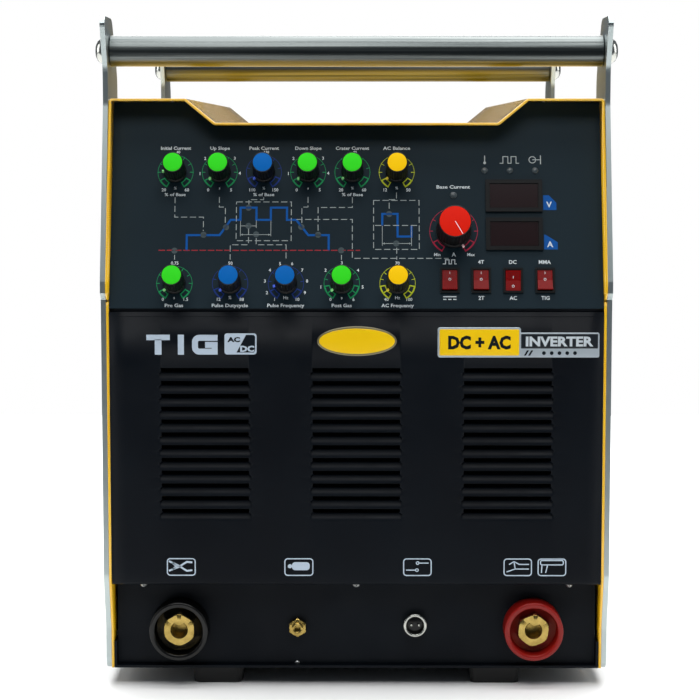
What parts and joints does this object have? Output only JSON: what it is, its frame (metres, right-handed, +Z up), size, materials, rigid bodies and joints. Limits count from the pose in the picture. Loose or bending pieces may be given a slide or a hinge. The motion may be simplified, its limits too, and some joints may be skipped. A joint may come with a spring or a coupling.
{
  "type": "tig welding machine",
  "caption": "Boxy inverter welding machine with a folded yellow cover, two steel side frames with grab bars, a leaning control panel of knobs and rockers, louvred front and weld sockets.",
  "frame": {"origin": "on the floor under the middle of the machine's outer box", "axes": "-Y is the front with the controls, +X is to the right seen from the front, +Z is up"},
  "size_m": [0.4236, 0.6652, 0.543],
  "materials": {
    "black_powder_coat": "fine black powder coat",
    "yellow_enamel": "glossy yellow enamel on folded sheet",
    "dark_fascia_film": "satin dark blue-grey film on sheet",
    "brushed_steel": "silver satin plate",
    "polished_tube": "polished steel tube",
    "brass": "machined brass",
    "black_plastic": "moulded black plastic",
    "red_plastic": "moulded red plastic",
    "green_plastic": "moulded green plastic",
    "blue_plastic": "moulded blue plastic",
    "yellow_plastic": "moulded yellow plastic",
    "foot_rubber": "black moulded rubber",
    "circuit_board": "green glass-fibre board",
    "copper_winding": "varnished copper winding",
    "aluminium": "extruded aluminium"
  },
  "bodies": {
    "case": {"bar_bolt_front_left": "brushed_steel", "bar_bolt_front_right": "brushed_steel", "bar_bolt_rear_left": "brushed_steel", "bar_bolt_rear_right": "brushed_steel", "base_pan": "black_powder_coat", "cable_gland": "black_plastic", "connector_panel": "black_powder_coat", "control_board": "circuit_board", "control_fascia": "dark_fascia_film", "cover": "yellow_enamel", "fan_frame": "black_plastic", "fan_guard": "brushed_steel", "foot_front_left": "foot_rubber", "foot_front_right": "foot_rubber", "foot_rear_left": "foot_rubber", "foot_rear_right": "foot_rubber", "front_grab_bar": "polished_tube", "front_panel": "black_powder_coat", "gas_inlet": "brass", "gas_outlet": "brass", "gas_solenoid": "brass", "hf_unit": "black_plastic", "inverter_board": "circuit_board", "main_transformer": "copper_winding", "mains_breaker": "black_plastic", "meter_current": "black_plastic", "meter_voltage": "black_plastic", "output_choke": "copper_winding", "power_heatsink": "aluminium", "rear_grab_bar": "polished_tube", "rear_panel": "black_powder_coat", "rocker_housing_current": "black_plastic", "rocker_housing_process": "black_plastic", "rocker_housing_pulse": "black_plastic", "rocker_housing_trigger": "black_plastic", "side_frame_left": "brushed_steel", "side_frame_right": "brushed_steel", "socket_brass_negative": "brass", "socket_brass_positive": "brass", "socket_insulator_negative": "black_plastic", "socket_insulator_positive": "red_plastic", "torch_socket": "brushed_steel"},
    "knob_initial_current": {"knob_initial_current": "green_plastic"},
    "knob_up_slope": {"knob_up_slope": "green_plastic"},
    "knob_peak_current": {"knob_peak_current": "blue_plastic"},
    "knob_down_slope": {"knob_down_slope": "green_plastic"},
    "knob_crater_current": {"knob_crater_current": "green_plastic"},
    "knob_ac_balance": {"knob_ac_balance": "yellow_plastic"},
    "knob_pre_gas": {"knob_pre_gas": "green_plastic"},
    "knob_pulse_width": {"knob_pulse_width": "blue_plastic"},
    "knob_pulse_frequency": {"knob_pulse_frequency": "blue_plastic"},
    "knob_post_gas": {"knob_post_gas": "green_plastic"},
    "knob_ac_frequency": {"knob_ac_frequency": "yellow_plastic"},
    "knob_base_current": {"knob_base_current": "red_plastic"},
    "rocker_pulse": {"rocker_pulse": "red_plastic"},
    "rocker_trigger": {"rocker_trigger": "red_plastic"},
    "rocker_current": {"rocker_current": "red_plastic"},
    "rocker_process": {"rocker_process": "red_plastic"},
    "breaker_lever": {"breaker_lever": "black_plastic"},
    "fan_rotor": {"fan_rotor": "black_plastic"}
  },
  "joints": [
    {"name": "initial_current_turn", "type": "hinge", "parent": "case", "child": "knob_initial_current", "pos_m": [-0.1465, -0.27509, 0.41868], "axis": [0, -0.9537, 0.3007], "range_deg": [-240, 60]},
    {"name": "up_slope_turn", "type": "hinge", "parent": "case", "child": "knob_up_slope", "pos_m": [-0.1107, -0.27509, 0.41868], "axis": [0, -0.9537, 0.3007], "range_deg": [-278, 22]},
    {"name": "peak_current_turn", "type": "hinge", "parent": "case", "child": "knob_peak_current", "pos_m": [-0.0749, -0.27509, 0.41868], "axis": [0, -0.9537, 0.3007], "range_deg": [-278, 22]},
    {"name": "down_slope_turn", "type": "hinge", "parent": "case", "child": "knob_down_slope", "pos_m": [-0.0391, -0.27509, 0.41868], "axis": [0, -0.9537, 0.3007], "range_deg": [-278, 22]},
    {"name": "crater_current_turn", "type": "hinge", "parent": "case", "child": "knob_crater_current", "pos_m": [-0.0033, -0.27509, 0.41868], "axis": [0, -0.9537, 0.3007], "range_deg": [-278, 22]},
    {"name": "ac_balance_turn", "type": "hinge", "parent": "case", "child": "knob_ac_balance", "pos_m": [0.0325, -0.27509, 0.41868], "axis": [0, -0.9537, 0.3007], "range_deg": [-278, 22]},
    {"name": "pre_gas_turn", "type": "hinge", "parent": "case", "child": "knob_pre_gas", "pos_m": [-0.1458, -0.3029, 0.33046], "axis": [0, -0.9537, 0.3007], "range_deg": [-278, 22]},
    {"name": "pulse_width_turn", "type": "hinge", "parent": "case", "child": "knob_pulse_width", "pos_m": [-0.1011, -0.3029, 0.33046], "axis": [0, -0.9537, 0.3007], "range_deg": [-278, 22]},
    {"name": "pulse_frequency_turn", "type": "hinge", "parent": "case", "child": "knob_pulse_frequency", "pos_m": [-0.0564, -0.3029, 0.33046], "axis": [0, -0.9537, 0.3007], "range_deg": [-257, 43]},
    {"name": "post_gas_turn", "type": "hinge", "parent": "case", "child": "knob_post_gas", "pos_m": [-0.0117, -0.3029, 0.33046], "axis": [0, -0.9537, 0.3007], "range_deg": [-278, 22]},
    {"name": "ac_frequency_turn", "type": "hinge", "parent": "case", "child": "knob_ac_frequency", "pos_m": [0.033, -0.3029, 0.33046], "axis": [0, -0.9537, 0.3007], "range_deg": [-278, 22]},
    {"name": "base_current_turn", "type": "hinge", "parent": "case", "child": "knob_base_current", "pos_m": [0.0782, -0.28988, 0.37175], "axis": [0, -0.9537, 0.3007], "range_deg": [0, 300]},
    {"name": "pulse_rock", "type": "hinge", "parent": "case", "child": "rocker_pulse", "pos_m": [0.0748, -0.30221, 0.33265], "axis": [1, 0, 0], "range_deg": [0, 20]},
    {"name": "trigger_rock", "type": "hinge", "parent": "case", "child": "rocker_trigger", "pos_m": [0.0999, -0.30221, 0.33265], "axis": [1, 0, 0], "range_deg": [0, 20]},
    {"name": "current_rock", "type": "hinge", "parent": "case", "child": "rocker_current", "pos_m": [0.1255, -0.30221, 0.33265], "axis": [1, 0, 0], "range_deg": [-20, 0]},
    {"name": "process_rock", "type": "hinge", "parent": "case", "child": "rocker_process", "pos_m": [0.151, -0.30221, 0.33265], "axis": [1, 0, 0], "range_deg": [0, 20]},
    {"name": "breaker_throw", "type": "hinge", "parent": "case", "child": "breaker_lever", "pos_m": [-0.118, 0.30233, 0.372], "axis": [1, 0, 0], "range_deg": [0, 72]},
    {"name": "fan_spin", "type": "hinge", "parent": "case", "child": "fan_rotor", "pos_m": [0, 0.27733, 0.25], "axis": [0, 1, 0], "continuous": true}
  ]
}
